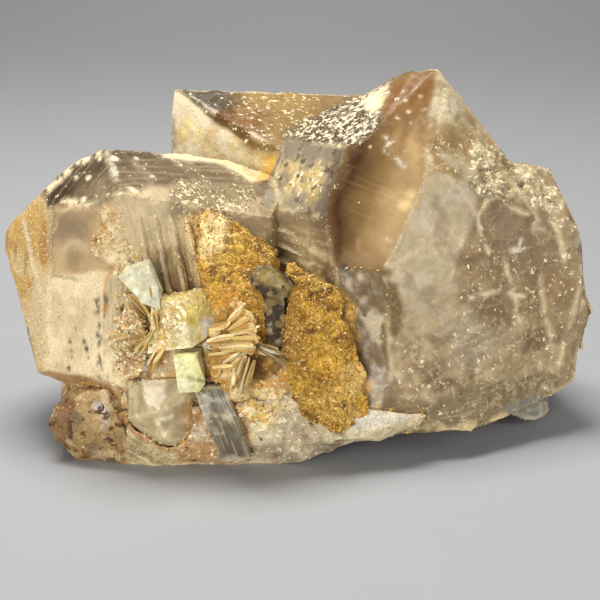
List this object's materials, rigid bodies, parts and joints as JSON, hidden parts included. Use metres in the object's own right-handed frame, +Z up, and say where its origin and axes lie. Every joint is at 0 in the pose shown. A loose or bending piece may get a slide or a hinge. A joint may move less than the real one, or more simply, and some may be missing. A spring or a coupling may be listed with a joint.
{
  "type": "smoky quartz cluster",
  "caption": "Cluster of intergrown smoky quartz crystals on a feldspar base, with green crystals, albite blades and ochre crusts in the hollow between them.",
  "frame": {"origin": "bottom centre of the specimen's bounding box, on the surface it rests on", "axes": "+X along its length with the main crystal's end at +X, +Z up, the side with the small green crystals faces -Y"},
  "size_m": [0.143, 0.0938, 0.085],
  "materials": {
    "smoky_quartz": "natural crystal faces, part glassy, part coated and etched",
    "feldspar": "rough, pitted",
    "yellow_green_crystal": "satin",
    "green_crystal": "satin, slightly translucent",
    "pale_tabular_crystal": "satin, slightly translucent",
    "albite": "satin blades",
    "ochre_druse": "granular, matt",
    "dark_stalk": "rough, part shiny"
  },
  "bodies": {
    "root": {"quartz": "smoky_quartz", "matrix": "feldspar", "yellow_green_crystal": "yellow_green_crystal", "green_crystal": "green_crystal", "pale_tabular_crystal": "pale_tabular_crystal", "albite_blade_fan": "albite", "albite_side_blades": "albite", "albite_strip": "albite", "ochre_crust_left": "ochre_druse", "ochre_crust_right": "ochre_druse", "dark_stalk": "dark_stalk"}
  },
  "joints": []
}
